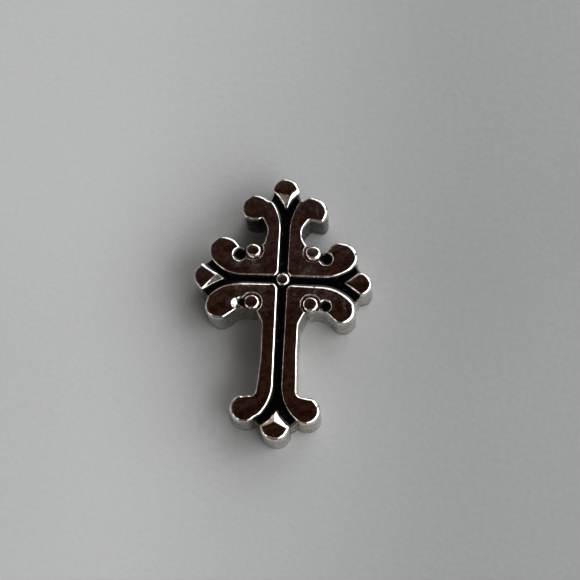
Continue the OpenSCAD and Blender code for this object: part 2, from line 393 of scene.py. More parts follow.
circle = ring_round((0, 0), 1)
can = skin("can", np.stack([np.c_[circle, np.full(len(circle), z)] for z in (1.0, 0.0)]))
print("a can of radius 1 and height 1 should hold 3.14:", round(volume(can), 2))
# The can was only a test. Its object goes with its mesh.
bpy.data.meshes.remove(can.data)

# %% [markdown]
# ## Lids
#
# The polished faces are lids on the quarters. A lid isn't one flat face, because a mirror
# shows every wave in it. Points are laid inside the outline in a honeycomb and joined to it
# by triangles that are as even as can be, so that each point can be lifted by a formula.
#
# A remesh would put points inside as well, but it would move the outline's own points.
# These triangles keep them, so the lid fits its ring exactly.

# %% Points inside a loop
LID_CELL = 0.06


def inside(points, loop):
    """True for points within a closed loop: a line to the right of them crosses the loop an
    odd number of times."""
    x, y = points[:, :1], points[:, 1:2]
    (ax, ay), (bx, by) = loop[:, :2].T, np.roll(loop, -1, axis=0)[:, :2].T
    level = (ay > y) != (by > y)
    cross = ax + (y - ay) * (bx - ax) / np.where(by == ay, 1e-12, by - ay)
    return (level & (x < cross)).sum(axis=1) % 2 == 1


def distance(points, loop):
    """How far points lie from the nearest point of a loop; endlessly far from none."""
    if len(loop) == 0:
        return np.full(len(points), np.inf)
    gap = points[:, None, :2].astype(np.float32) - loop[None, :, :2].astype(np.float32)
    return np.sqrt((gap ** 2).sum(axis=-1).min(axis=1)).astype(float)


def honeycomb(loops, cell):
    """Points in rows that are offset by half a cell, kept where they are inside the first
    loop, outside the others, and more than half a cell from all of them."""
    low, high = loops[0][:, :2].min(axis=0), loops[0][:, :2].max(axis=0)
    x, y = np.meshgrid(np.arange(low[0], high[0], cell),
                       np.arange(low[1], high[1], cell * math.sqrt(0.75)))
    x[1::2] += cell / 2
    grid = np.c_[x.ravel(), y.ravel()]
    grid = grid[inside(grid, loops[0])]
    for loop in loops[1:]:
        grid = grid[~inside(grid, loop)]
    return grid[distance(grid, np.vstack([loop[:, :2] for loop in loops])) > cell / 2]


print("points inside a can's lid:", len(honeycomb([circle], LID_CELL)))

# %% Triangles between them
def triangulated(loops, cell):
    """Points and triangles that cover what is inside the first loop and outside the others.
    The loops' own points come first and keep their order."""
    grid = honeycomb(loops, cell)
    points = np.vstack([loop[:, :2] for loop in loops] + [grid])
    edges, first = [], 0
    for loop in loops:
        k = np.arange(len(loop))
        edges += np.c_[first + k, first + (k + 1) % len(loop)].tolist()
        first += len(loop)
    made = delaunay_2d_cdt([Vector(p) for p in points.tolist()], edges, [], 1, 1e-6)
    back = np.array([ids[0] for ids in made[3]])
    triangles = back[np.array(made[2])]
    middle = points[triangles].mean(axis=1)
    keep = np.ones(len(triangles), bool)
    for loop in loops[1:]:
        keep &= ~inside(middle, loop)
    return points, triangles[keep]


print("triangles in a can's lid:", len(triangulated([circle], LID_CELL)[1]))

# %% [markdown]
# ## A slight crown
#
# A polishing wheel takes a little more from a face near its edges and near every hole, and
# hands leave a few long, low waves. The fall is under two hundredths of a millimetre, but
# it bends what the face reflects: a brighter part of the room shows along the edges and
# round the studs, and only the middle of a face stays dark.
#
# A bump in the material could fake this. It is made in the mesh, because a crown this long
# and low also shows in the outline of a reflection, seen from any side.

# %% Crown
DISH, DISH_WIDTH, WAVE = 0.017, 0.26, 0.0006
# One wave a row: how fast it turns along x and along y, and where it starts, in radians.
WAVES = [(3.1, 1.7, 0.6), (-1.9, 4.3, 2.1), (5.2, -3.7, 4.0)]


def crowned(points, edges):
    """The height of a polished face. Towards the edges it falls by d exp(-s / w), with s the
    distance from the nearest edge. Sines that cross one another run over it."""
    waves = sum(np.sin(a * points[:, 0] + b * points[:, 1] + c) for a, b, c in WAVES)
    fall = np.exp(-distance(points, edges) / DISH_WIDTH)
    return FACE_Z - DISH * fall + (1 - fall) * WAVE * (waves - len(WAVES))


for away in (0.0, 0.2, 0.5):
    print("the crown falls", round(DISH * math.exp(-away / DISH_WIDTH), 4), "mm at", away,
          "mm from an edge")

# %% [markdown]
# ## Where the studs and pits are
#
# Four small studs stand near the middle, one in each quarter, and each has a pit beside it
# that breaks through the scroll's edge. They were set by eye, so each has its own place,
# and one pit is narrower. The middle stud sits a hair off the point that all the numbers
# are measured from.
#
# An Array modifier would set four equal studs in a moment. A table was chosen because no
# two of them are alike.

# %% Places
STUDS = {"upper_right": (1.20, 1.19), "upper_left": (-1.25, 1.22),
         "lower_left": (-1.20, -0.98), "lower_right": (1.19, -1.00)}
# A pit's centre and radius.
PITS = {"upper_right": (1.74, 0.95, 0.245), "upper_left": (-1.81, 1.04, 0.245),
        "lower_left": (-1.62, -1.00, 0.18), "lower_right": (1.79, -1.05, 0.215)}
STUD_R, GROOVE_R = 0.295, 0.41
MIDDLE_AT, MIDDLE_R = (0.01, 0.03), 0.27

for name, (x, y) in STUDS.items():
    print(name, "stud to pit:", round(math.dist((x, y), PITS[name][:2]), 2), "mm")

# %% [markdown]
# ## The four scroll quarters
#
# Each quarter is its outline carried down a profile: a quarter of a circle over the edge, a
# plumb wall, and a small rounding at the foot, where the back was sanded flat. The lid
# closes it on top.
#
# The quarters could be cut out of one plate by the channel. They are made one by one,
# because then each keeps its own outline all round, and its edge can be soft in one place
# and crisp in another.

# %% Raised forms
FOOT = 0.03
OVER = np.radians(np.linspace(0, 90, 10))
UNDER = np.radians(np.linspace(0, 90, 4))


def stacked(loop, insets, heights):
    """Rings from one outline: each is moved in by its inset and lies at its height."""
    flat = loop[None, :, :2] - insets[:, :, None] * outward(loop)[None]
    return np.concatenate([flat, np.broadcast_to(heights, insets.shape)[:, :, None]], axis=2)


def raised(name, loop, rim, edges, cell):
    """A raised form. Over its edge the inset is r (1 - sin a) and the drop r (1 - cos a),
    with a from 0 to 90 degrees and r the rounding at that place."""
    over, none = OVER[:, None], 0 * rim
    insets = np.vstack([ROOM * rim, rim * (1 - np.sin(over)), none,
                        FOOT * (1 - np.cos(UNDER[:, None])) + none])
    rings = stacked(loop, insets, 0 * insets)
    rings[:, :, 2] = np.vstack([
        crowned(rings[0], edges), crowned(rings[1], edges) - rim * (1 - np.cos(over)),
        none + FACE_Z / 2, none + FOOT * (1 - np.sin(UNDER[:, None]))])
    points, triangles = triangulated([rings[0]], cell)
    inner = points[rings.shape[1]:]
    return skin(name, rings, (np.c_[inner, crowned(inner, edges)], triangles))


print("rings in a raised form:", 1 + len(OVER) + 1 + len(UNDER))

# %% Quarters
quarters = []
for name, loop in outlines.items():
    edges = np.vstack([loop[:, :2], ring_round(STUDS[name], GROOVE_R),
                       ring_round(PITS[name], PITS[name][2])])
    quarters.append(raised("quarter_" + name, loop, roundable(loop), edges, LID_CELL))
print("quarters, cubic mm:", [round(volume(q), 2) for q in quarters])

# %% [markdown]
# ## Studs
#
# Anything round is turned: a profile of radius and height, carried round an upright axis.
# The studs are buttons with soft edges, worn more at the top and bottom than at the sides,
# and most towards the lower right, so their flats are ovals. Squashed spheres would be
# quicker, but their tops would have no flat, and it is the flat that mirrors as the faces
# do.

# %% Turned shapes
# How soft a stud's edge is at the sides, at the ends, and how much more at the lower right.
UPPER_WEAR, LOWER_WEAR = (0.04, 0.10, 0.07), (0.045, 0.055, 0.05)
MIDDLE_WEAR = (0.10, 0.10, 0.0)
MOST_WORN = math.radians(-55)
DOME, MIDDLE_DOME = 0.01, 0.014
STUD_WAIST = 0.8


def turned_shape(name, at, radius, height):
    """A profile carried round an upright axis: x = r cos a, y = r sin a. The radius r and
    the height run from the top down, and both may change with the angle a."""
    radius, height = radius + 0 * AROUND, height + 0 * AROUND
    return skin(name, np.stack([at[0] + radius * np.cos(AROUND),
                                at[1] + radius * np.sin(AROUND), height], axis=2))


def button(name, at, radius, wear, dome):
    """A stud: a low dome, d (s / R)^2 lower at the distance s, whose edge runs down in a
    quarter circle. The circle's size grows from the sides to the ends with the square of
    the angle's sine, and by m (1 + cos(a - w)) / 2 towards the way w, the lower right."""
    at_sides, at_ends, more = wear
    soft = (at_sides + (at_ends - at_sides) * np.sin(AROUND) ** 2
            + more * (1 + np.cos(AROUND - MOST_WORN)) / 2)
    share, over = np.linspace(0.12, 0.9, 5)[:, None], OVER[:, None]
    flat = radius - soft
    return turned_shape(name, at, np.vstack([
        flat * share, flat + soft * np.sin(over), radius + 0 * soft, radius + 0 * soft]),
        np.vstack([FACE_Z - dome * share ** 2 + 0 * soft,
                   FACE_Z - dome - soft * (1 - np.cos(over)), STUD_WAIST + 0 * soft, 0 * soft]))


studs = [button("stud_" + name, at, STUD_R, UPPER_WEAR if at[1] > 0 else LOWER_WEAR, DOME)
         for name, at in STUDS.items()]
studs.append(button("stud_middle", MIDDLE_AT, MIDDLE_R, MIDDLE_WEAR, MIDDLE_DOME))
print("studs, cubic mm:", [round(volume(s), 3) for s in studs])

# %% [markdown]
# ## The tools that cut
#
# The grooves round the studs and the pits beside them are cut with round tools, whose
# shoulders also break the edge that they leave. One pit was flared with a cone, whose slope
# catches the light, and the lower right quarter has a small nick in its upper edge.
#
# Each tool is a solid of its own here too, a little taller than what it leaves. A hole
# drawn into the lid would need new triangles all round it. A solid that is taken away needs
# none.

# %% Cutting tools
GROOVE_FLOOR, CHANNEL_FLOOR = FACE_Z - 0.13, FACE_Z - 0.45
GROOVE_SHOULDER, PIT_SHOULDER = 0.06, 0.11
# A tool stands this far above the face, and a pointed one ends in a tip this wide.
ABOVE, TIP_R = 0.2, 0.02
# A cone's place, radius, depth and shoulder.
FLARE = ((-1.79, -1.06), 0.27, 0.20, 0.05)
NICK = ((1.29, -0.25), 0.075, 0.10, 0.02)


def burr(name, at, radius, floor, shoulder):
    """A cutting tool: straight below, and flared at the top in a quarter circle, so that the
    edge that it leaves is round."""
    flare = shoulder * (1 - np.sin(OVER))
    fall = shoulder * (1 - np.cos(OVER))
    return turned_shape(name, at, np.r_[radius + shoulder, radius + flare, radius][:, None],
                        np.r_[FACE_Z + ABOVE, FACE_Z - fall, floor][:, None])


def cone(name, at, radius, depth, shoulder):
    """A pointed tool: a straight slope from the radius r down to the depth d. Over the
    shoulder's width h, its top bends from level into that slope: at the share s of the way
    in, it has fallen by h d / (2 r) s^2."""
    s = np.linspace(0, 1, 6)
    fall = 0.5 * shoulder * depth / radius * s ** 2
    return turned_shape(name, at, np.r_[radius, radius - shoulder * s, TIP_R][:, None],
                        np.r_[FACE_Z + ABOVE, FACE_Z - fall, FACE_Z - depth][:, None])


cutters = [burr("groove_" + name, at, GROOVE_R, GROOVE_FLOOR, GROOVE_SHOULDER)
           for name, at in STUDS.items()]
cutters += [burr("pit_" + name, pit, pit[2], CHANNEL_FLOOR, PIT_SHOULDER)
            for name, pit in PITS.items()]
cutters += [cone("flare", *FLARE), cone("nick", *NICK)]
print(len(cutters), "tools, the deepest cut", round(FACE_Z - CHANNEL_FLOOR, 2), "mm")

# %% [markdown]
# ## The buds
#
# Each arm ends in a bud: a shield with a flat cap, and two facets that fall from the cap to
# the point. The facets were filed by hand, so no two buds are alike, and each has its own
# outline. A facet's row says which way it faces, how far inside the bud's point its upper
# edge passes, how steep it starts, how steep it goes on, how soft that edge is, and how
# wide the hollow. A facet that starts steep and goes on flatter is hollow, as a round file
# leaves it, and shows a bright line on top.

# %% Buds
NARROW = 0.035
BUDS = {
    "right": ([corner(2.52, -0.05, 0.05), corner(2.87, -0.30, 0.05),
               corner(3.18, -0.53, 0.08), [3.15, -0.05, 0.50, -72, 3, 0.14],
               [3.15, -0.05, 0.50, 18, 76, 0.16], corner(3.10, 0.42, THIN),
               corner(2.86, 0.22, 0.05)],
              [(130, 0.10, 0.50, 0.10, 0.05, NARROW), (-130, 0.10, 0.50, 0.10, 0.05, NARROW)]),
    "top": ([corner(-0.01, 3.03, 0.06), corner(0.20, 3.43, 0.12), corner(0.45, 3.72, 0.12),
             [-0.03, 3.84, 0.54, -8, 85, 0.15], [-0.03, 3.84, 0.54, 105, 188, THIN],
             corner(-0.52, 3.74, 0.09), corner(-0.25, 3.43, 0.09)],
            [(-97, 0.69, 0.33, 0.33, 0.12, NARROW), (-50, 0.437, 0.56, 0.50, 0.04, NARROW)]),
    "left": ([corner(-2.42, 0.0, 0.006), corner(-2.86, 0.28, 0.02), corner(-3.03, 0.41, 0.07),
              [-2.96, 0.06, 0.65, 121, 130, 0.12], [-2.96, 0.06, 0.65, 150, 190, THIN],
              [-2.96, 0.06, 0.65, 205, 243, 0.13],
              corner(-3.19, -0.47, 0.006), corner(-3.02, -0.345, 0.006),
              corner(-2.83, -0.22, 0.006)],
             [(56, 0.10, 0.34, 0.30, 0.05, NARROW), (-41, 0.35, 0.80, 0.25, 0.02, 0.052)]),
    "bottom": ([corner(0.02, -5.42, 0.05), corner(-0.24, -5.77, 0.05),
                [0.0, -6.08, 0.58, 176, 364, 0.15], corner(0.26, -5.76, 0.05)],
               [(64, 0.449, 0.46, 0.42, 0.04, NARROW), (116, 0.407, 0.42, 0.40, 0.05, NARROW)]),
}
BUD_STEP, BUD_TUMBLE = 0.02, 0.024
bud_loops = {name: outline(rows, 1, BUD_STEP, BUD_TUMBLE) for name, (rows, _) in BUDS.items()}
print("points:", {name: len(loop) for name, loop in bud_loops.items()})

# %% [markdown]
# A facet could be cut off with a plane. Here it is a formula for the height instead, so its
# upper edge can be soft and its slope can change on the way down. Where two facets meet, the
# deeper one wins, with a small fillet between them.

# %% Facets
# The fillet between two facets, and how far a facet starts above its soft edge.
FILLET, EDGE_LIFT = 0.008, 0.002


def facet_drop(x, y, point, facets):
    """How far the facets lie below the cap. Beyond its edge, over a distance a, a facet
    falls by t a + (s - t) w (1 - exp(-a / w)), with s its first slope, t its later one and
    w the hollow's width. The deepest facet wins, and each edge is as soft as its blur."""
    drops = []
    for way, start, slope, later, blur, width in facets:
        face = math.radians(way)
        a = (x - point[0]) * math.cos(face) + (y - point[1]) * math.sin(face) + start
        a = (a + np.sqrt(a * a + blur ** 2)) / 2 - EDGE_LIFT
        drops.append(later * a + (slope - later) * width * (1 - np.exp(-a / width)))
    first, second = drops
    return (first + second + np.sqrt((first - second) ** 2 + FILLET ** 2)) / 2 - FILLET / 2


for name, (rows, facets) in BUDS.items():
    drop = facet_drop(*rows[0][:2], rows[0][:2], facets)
    print(name, "bud: its point lies", round(float(drop), 3), "mm below the cap")

# %% Shields
BUD_CROWN, BUD_LOW = 0.05, 0.003
# How far out each ring lies, from the middle to the edge. They crowd near the edge.
RINGS_OUT = np.r_[np.linspace(0.03, 0.72, 16), 1 - np.geomspace(0.26, 0.004, 22), 1.0]


def bud(name, loop, point, facets):
    """Rings that shrink from the outline towards the cap's middle. The height is the face
    less the facets' drop, less the rounding of the edge at that distance from it."""
    rim = roundable(loop, BUD_STEP)
    centre = loop[:, :2].mean(axis=0)
    # The cap's middle lies three tenths of the way from there to the outline's far side.
    middle = centre * 0.7 + loop[len(loop) // 2, :2] * 0.3
    flat = middle + RINGS_OUT[:, None, None] * (loop[None, :, :2] - middle)
    reach = ((loop[:, :2] - middle) * outward(loop)).sum(axis=1)
    part = np.clip(1 - (1 - RINGS_OUT)[:, None] * reach / rim, 0, 1)
    crown = BUD_CROWN * ((flat - centre) ** 2).sum(axis=-1)
    height = (FACE_Z - BUD_LOW - crown - facet_drop(flat[..., 0], flat[..., 1], point, facets)
              - rim * (1 - np.sqrt(1 - part ** 2)))
    top = np.concatenate([flat, height[:, :, None]], axis=2)
    foot = stacked(loop, FOOT * (1 - np.cos(UNDER[:, None])) + 0 * rim,
                   FOOT * (1 - np.sin(UNDER[:, None])) + 0 * rim)
    return skin(name, np.concatenate([top, foot]))


buds = [bud("bud_" + name, bud_loops[name], rows[0][:2], facets)
        for name, (rows, facets) in BUDS.items()]
print("buds, cubic mm:", [round(volume(b), 2) for b in buds])

# %% [markdown]
# ## The channel's shape
#
# The channel is what quarters and buds leave free. Its outline therefore isn't drawn again:
# it is pieced together from parts of theirs, each moved a little way into the metal, and
# straight lines across the eight open mouths between a scroll and a bud. The same shape,
# moved in further, is the plate that holds everything together under the enamel.

# %% The channel's outline
# Round the channel, anticlockwise: a piece, where its part begins, and where it ends.
BANKS = [
    (outlines["lower_right"], (0.90, -5.82), (2.97, -0.90)),
    (bud_loops["right"], (3.24, -0.55), (3.23, 0.46)),
    (outlines["upper_right"], (2.99, 0.84), (0.66, 3.43)),
    (bud_loops["top"], (0.51, 3.80), (-0.56, 3.80)),
    (outlines["upper_left"], (-0.68, 3.43), (-2.97, 0.85)),
    (bud_loops["left"], (-3.29, 0.61), (-3.22, -0.52)),
    (outlines["lower_left"], (-3.01, -0.86), (-0.88, -5.80)),
    (bud_loops["bottom"], (-0.57, -6.05), (0.57, -6.03)),
]
print("banks:", len(BANKS))

# %% The plate
CHANNEL_STEP, PLATE_INTO = 0.04, 0.07
# Moved points stay if they kept at least this share of their distance from the loop.
KEPT_SHARE = 0.97


def bank(loop, start, end, into, short):
    """The part of an anticlockwise loop from its point nearest the end back to the one
    nearest the start, moved into the metal: p - into * n, with n pointing outwards. At a
    sharp tip the moved points would cross, so those that come too near the loop are left
    out."""
    first, last = (distance(loop, np.array([p])).argmin() for p in (end, start))
    picked = np.arange(first + short, last + len(loop) * (last < first) - short) % len(loop)
    moved = (loop[:, :2] - into * outward(loop))[picked][::-1]
    return moved[distance(moved, loop) > KEPT_SHARE * into]


def channel_shape(into, short):
    """The whole outline of the channel, and the mouths' lines as pairs of points."""
    parts = [bank(loop, start, end, into, short) for loop, start, end in BANKS]
    mouths = [(here[-1], on[0]) for here, on in zip(parts, parts[1:] + parts[:1])]
    return evenly(np.vstack(parts), CHANNEL_STEP), mouths


plate_loop, _ = channel_shape(PLATE_INTO, 0)
plate = skin("plate", np.stack([np.c_[plate_loop, np.full(len(plate_loop), z)]
                                for z in (CHANNEL_FLOOR, 0.0)]))
print("plate, cubic mm:", round(volume(plate), 2))

# %% [markdown]
# ## One casting
#
# The wax model of a charm is built up from parts and cut back with tools, and then cast in
# one piece. Boolean modifiers do the same with closed skins: the cutters are taken out of
# the quarters, and then everything is joined. The parts could also just overlap, which
# would look the same. One skin was chosen because a printer or a mill can use it as well.

# %% Join and cut
SHARP = math.radians(32)


def worked(base, tools, how):
    """The base joined with the tools, or cut by them. The tools are used up."""
    for tool in tools:
        change = base.modifiers.new(how.lower(), "BOOLEAN")
        change.operation, change.solver, change.object = how, "MANIFOLD", tool
    shaped = base.evaluated_get(bpy.context.evaluated_depsgraph_get())
    mesh = bpy.data.meshes.new_from_object(shaped)
    base.modifiers.clear()
    base.data = mesh
    for tool in tools:
        bpy.data.objects.remove(tool)
    return base


casting = worked(plate, quarters, "UNION")
casting = worked(casting, cutters, "DIFFERENCE")
casting = worked(casting, studs + buds, "UNION")
casting.name = casting.data.name = "silver_casting"
casting.data.shade_smooth()
casting.data.set_sharp_from_angle(angle=SHARP)
print("casting:", round(volume(casting), 2), "cubic mm,", len(casting.data.polygons), "faces")

# %% [markdown]
# ## Enamel
#
# Enamel is flowed in wet. It creeps up the walls a little, sags at the open mouths, and
# keeps slow ripples when it sets. A fluid simulation would find that shape too, but slowly.
# Here a heap of small triangles is laid over the channel, and each point's height follows
# its distance from the nearest wall and the nearest mouth.

# %% Fills
ENAMEL_Z = FACE_Z - 0.22
CREEP, CREEP_WIDTH = 0.03, 0.04
SAG, SAG_WIDTH = 0.03, 0.05
RIPPLE = 0.004
# How far the fill reaches into the walls, and below the floor, so that no gap shows.
INTO_WALL, INTO_FLOOR = 0.03, 0.02
ENAMEL_SHARP = math.radians(50)


def filled(name, loops, walls, mouths, cell):
    """Enamel between the loops. Its height is the level, plus c exp(-d / w) with d the
    distance from the nearest wall, less the same for the mouths, plus ripples of two sines.
    Below, it ends on a flat bottom."""
    points, triangles = triangulated(loops, cell)
    ripple = RIPPLE * np.sin(2.3 * points[:, 0] + 1.1) * np.sin(1.9 * points[:, 1] + 0.4)
    top = np.c_[points, ENAMEL_Z + ripple
                + CREEP * np.exp(-distance(points, walls) / CREEP_WIDTH)
                - SAG * np.exp(-distance(points, mouths) / SAG_WIDTH)]
    bottom = np.c_[points, np.full(len(points), CHANNEL_FLOOR - INTO_FLOOR)]
    faces = triangles.tolist() + (triangles[:, ::-1] + len(points)).tolist()
    first = 0
    for loop in loops:
        k = np.arange(len(loop))
        here, on = first + k, first + (k + 1) % len(loop)
        faces += np.c_[here, here + len(points), on + len(points), on].tolist()
        first += len(loop)
    piece = new_piece(name, np.vstack([top, bottom]), faces)
    piece.data.shade_smooth()
    piece.data.set_sharp_from_angle(angle=ENAMEL_SHARP)
    return piece


print("enamel stands", round(ENAMEL_Z - CHANNEL_FLOOR, 2), "mm above the channel's floor")

# %% The channel's enamel
CHANNEL_CELL = 0.035


def line(a, b, count=16):
    """Points along a straight line: a + s (b - a), with s from 0 to 1."""
    return a + np.linspace(0, 1, count)[:, None] * (np.asarray(b) - a)


channel_loop, mouths = channel_shape(INTO_WALL, 1)
walls = np.vstack([loop[:, :2] for loop in [*outlines.values(), *bud_loops.values()]]
                  + [ring_round(MIDDLE_AT, MIDDLE_R)])
enamel = [filled("channel_enamel_fill",
                 [channel_loop, ring_round(MIDDLE_AT, MIDDLE_R - INTO_WALL, AROUND[::2])],
                 walls, np.vstack([line(a, b) for a, b in mouths]), CHANNEL_CELL)]
print("channel enamel:", round(volume(enamel[0]), 3), "cubic mm")

# %% [markdown]
# ## Enamel in the pits
#
# Each pit breaks through the scroll's edge, so its enamel has a short open side there. The
# fill is a disc whose points beyond the scroll's edge are drawn back to it. A Boolean could
# trim the disc, but it would leave long thin triangles, and the sag needs even ones.

# %% Pit enamel
PIT_CELL = 0.03
DRAW_BACK, DRAWS, CLEAR = 0.975, 40, 0.02


def pit_fill(name, at, radius, loop):
    """A disc a little wider than the pit. Where it leaves the quarter's outline, it is drawn
    towards the pit's middle in small steps, until it is inside."""
    ring = ring_round(at, radius + INTO_WALL, AROUND[::2])
    for _ in range(DRAWS):
        out = ~inside(ring, loop) | (distance(ring, loop) < CLEAR)
        ring = np.where(out[:, None], at + (ring - at) * DRAW_BACK, ring)
    open_side = ring[np.linalg.norm(ring - at, axis=1) < radius]
    wall = ring_round(at, radius)
    return filled(name, [ring], wall[inside(wall, loop)], open_side, PIT_CELL)


enamel += [pit_fill("pit_enamel_fill_" + name, np.array([x, y]), radius, outlines[name])
           for name, (x, y, radius) in PITS.items()]
print("pit enamel, cubic mm:", [round(volume(piece), 3) for piece in enamel[1:]])

# %% [markdown]
# ## Patterns from the place
#
# A material has to tell what happened to a surface, and where. Painted pictures could do
# it, but they need a map of the surface and blur close up. Every pattern here is worked out
# from the place on the piece, in millimetres, so that it is sharp at any distance and stays
# where it is when the camera moves.

# %% Nodes
def node(tree, kind, inputs=None, **settings):
    """A shader node with its settings made and its inputs set or linked."""
    made = tree.nodes.new(kind)
    for key, value in settings.items():
        setattr(made, key, value)
    for key, value in (inputs or {}).items():
        if isinstance(value, bpy.types.NodeSocket):
            tree.links.new(value, made.inputs[key])
        else:
            made.inputs[key].default_value = value
    return made


def new_material(name):
    """A material, its node tree, its shader, and the place in millimetres."""
    material = bpy.data.materials.new(name)
    material.use_nodes = True
    tree = material.node_tree
    metres = node(tree, "ShaderNodeTexCoord").outputs["Object"]
    place = node(tree, "ShaderNodeVectorMath", {0: metres, "Scale": 1 / MM},
                 operation="SCALE").outputs[0]
    return material, tree, tree.nodes["Principled BSDF"], place


def calc(tree, how, *values):
    """One step of arithmetic at every point, on sockets or plain numbers."""
    return node(tree, "ShaderNodeMath", dict(enumerate(values)), operation=how).outputs[0]


def total(tree, *terms):
    """The sum of pairs, each one number times one socket."""
    summed = 0.0
    for share, value in terms:
        summed = calc(tree, "MULTIPLY_ADD", value, share, summed)
    return summed


# The silver comes first, and grows with each pattern below.
silver, tree, shader, place = new_material("polished_silver")
shader.inputs["Metallic"].default_value = 1.0
x, y, z = node(tree, "ShaderNodeSeparateXYZ", {0: place}).outputs
print("silver starts with the nodes", [one.bl_label for one in tree.nodes])

# %% [markdown]
# Three patterns are enough for this charm: clouds, an easing between two values, and hair
# lines, which run wherever a drawn-out cloud passes its middle value. A spot says how near
# a place is, and so where a stain or a haze may show.

# %% Patterns
def clouds(tree, place, size, detail=2.0):
    """Noise between 0 and 1, in blobs about as wide as the size."""
    return node(tree, "ShaderNodeTexNoise", {"Vector": place, "Scale": 1 / size,
                                             "Detail": detail}).outputs["Fac"]


def eased(tree, value, start, end):
    """Zero at the start, one at the end, and 3 t^2 - 2 t^3 between them."""
    return node(tree, "ShaderNodeMapRange", {"Value": value, "From Min": start,
                                             "From Max": end},
                interpolation_type="SMOOTHSTEP").outputs["Result"]


def hair_lines(tree, place, way, size, width):
    """Thin lines along one way: one where a cloud that is drawn out 25 times passes its
    middle value, zero from the width on either side of it, and only in patches, which
    differ from way to way."""
    drawn = node(tree, "ShaderNodeMapping", {
        "Vector": place, "Rotation": (0, 0, math.radians(way)), "Scale": (25, 1, 1)},
        vector_type="TEXTURE").outputs[0]
    off = calc(tree, "ABSOLUTE", calc(tree, "SUBTRACT", clouds(tree, drawn, size, 1.0), 0.5))
    moved = node(tree, "ShaderNodeMapping", {"Vector": place, "Location": (way, 2 * way, 0)})
    patch = eased(tree, clouds(tree, moved.outputs[0], 0.9), 0.50, 0.60)
    return calc(tree, "MULTIPLY", eased(tree, off, width, 0.0), patch)


def spot(tree, x, y, at, inner, outer):
    """One near a place and near its mirror image on the left, and zero further away: the
    distance is the root of (|x| - x0)^2 + (y - y0)^2."""
    across = calc(tree, "SUBTRACT", calc(tree, "ABSOLUTE", x), at[0])
    along = calc(tree, "SUBTRACT", y, at[1] + STUD_AT[1])
    square = calc(tree, "MULTIPLY_ADD", across, across, calc(tree, "MULTIPLY", along, along))
    return eased(tree, calc(tree, "SQRT", square), outer, inner)


grain = eased(tree, clouds(tree, place, 0.16, 4.0), 0.40, 0.66)
print("with its first pattern, the wheel's grain, silver has", len(tree.nodes), "nodes")

# %% [markdown]
# Two more helpers turn a pattern into a look. One blends two colours by it. The other reads
# it as a height and tilts the shading, as relief would. Relief in the mesh itself would need
# triangles finer than the grain, many millions of them, for a depth that no outline shows.

# %% Colours and relief
def blended(tree, share, first, second):
    """A colour between two, by a share."""
    made = node(tree, "ShaderNodeMix", data_type="RGBA")
    for socket, value in (("Factor_Float", share), ("A_Color", first), ("B_Color", second)):
        target = next(one for one in made.inputs if one.identifier == socket)
        if isinstance(value, bpy.types.NodeSocket):
            tree.links.new(value, target)
        else:
            target.default_value = (*value, 1) if isinstance(value, tuple) else value
    return next(one for one in made.outputs if one.identifier == "Result_Color")


def bumped(tree, shader, *terms):
    """Relief on a shader: the terms are pairs of a height in thousandths of a millimetre
    and a pattern."""
    bump = node(tree, "ShaderNodeBump", {"Height": total(tree, *terms), "Distance": 1e-6})
    tree.links.new(bump.outputs["Normal"], shader.inputs["Normal"])


STAINED, CLEAN = (0.58, 0.53, 0.50), (0.95, 0.93, 0.91)
stains = eased(tree, clouds(tree, place, 0.17, 4.0), 0.36, 0.62)
polished = blended(tree, stains, STAINED, CLEAN)
print("polished silver runs from", STAINED, "to", CLEAN)

# %% [markdown]
# ## Polished silver
#
# Polished metal is a mirror with a history. The wheel leaves low waves, which mottle what
# the mirror shows, and a fine grain that makes it here and there a little dull. Wear adds
# scratches. A dull bloom is left round the studs, where wiping doesn't reach.
#
# Below the edges nothing was polished: the walls are greyer and keep the grain of the
# mould, the two upper crooks are painted nearly black as painted shade, the walls by the
# lowest mouths are painted darker in patches, dark specks sit low on the walls, and the
# back was rubbed on paper. One material holds all of this, because it is all one piece of
# metal, and height alone tells where the polish ends.

# %% Where the silver differs
# Heights in millimetres at which a zone begins, and at which it is complete.
WALL_FROM, BACK_FROM, LOW_FROM = (1.60, 1.48), (0.015, 0.0), (0.45, 0.05)
# A darkened place: the crooks' spot is painted shade, the mouths' spot only a darker patch.
# Each has its centre, the radius within which it is full, and the one where it ends.
CROOK_SHADE_SPOT, MOUTH = ((1.20, 2.15), 0.65, 1.0), ((0.72, -6.05), 0.15, 0.42)

wall, back = eased(tree, z, *WALL_FROM), eased(tree, z, *BACK_FROM)
low = eased(tree, z, *LOW_FROM)
mouth = calc(tree, "MULTIPLY", clouds(tree, place, 0.15, 3.0), spot(tree, x, y, *MOUTH))
# Painted shade in the two upper crooks, and darker patches on the walls by the lowest mouths.
crook_shade_and_mouth_dark = calc(tree, "MULTIPLY", wall, calc(tree, "MAXIMUM", mouth, spot(tree, x, y, *CROOK_SHADE_SPOT)))
# Dark specks on the lower walls, full at the foot and gone above 0.45 mm.
speck = calc(tree, "MULTIPLY", low, eased(tree, clouds(tree, place, 0.20, 3.0), 0.60, 0.70))
print("the polish ends", round(FACE_Z - WALL_FROM[0], 2), "mm below the face")

# %% Bloom, scratches and mould grain
UPPER_HAZE, LOWER_HAZE = ((1.3, 0.75), 0.3, 1.3), ((1.3, -0.55), 0.3, 1.4)
# A scratch's way in degrees, the spacing of its kind and its width.
SCRATCHES = [(25, 0.30, 0.014), (-48, 0.42, 0.010), (100, 0.36, 0.010)]
PAPER = (78, 0.10, 0.10)

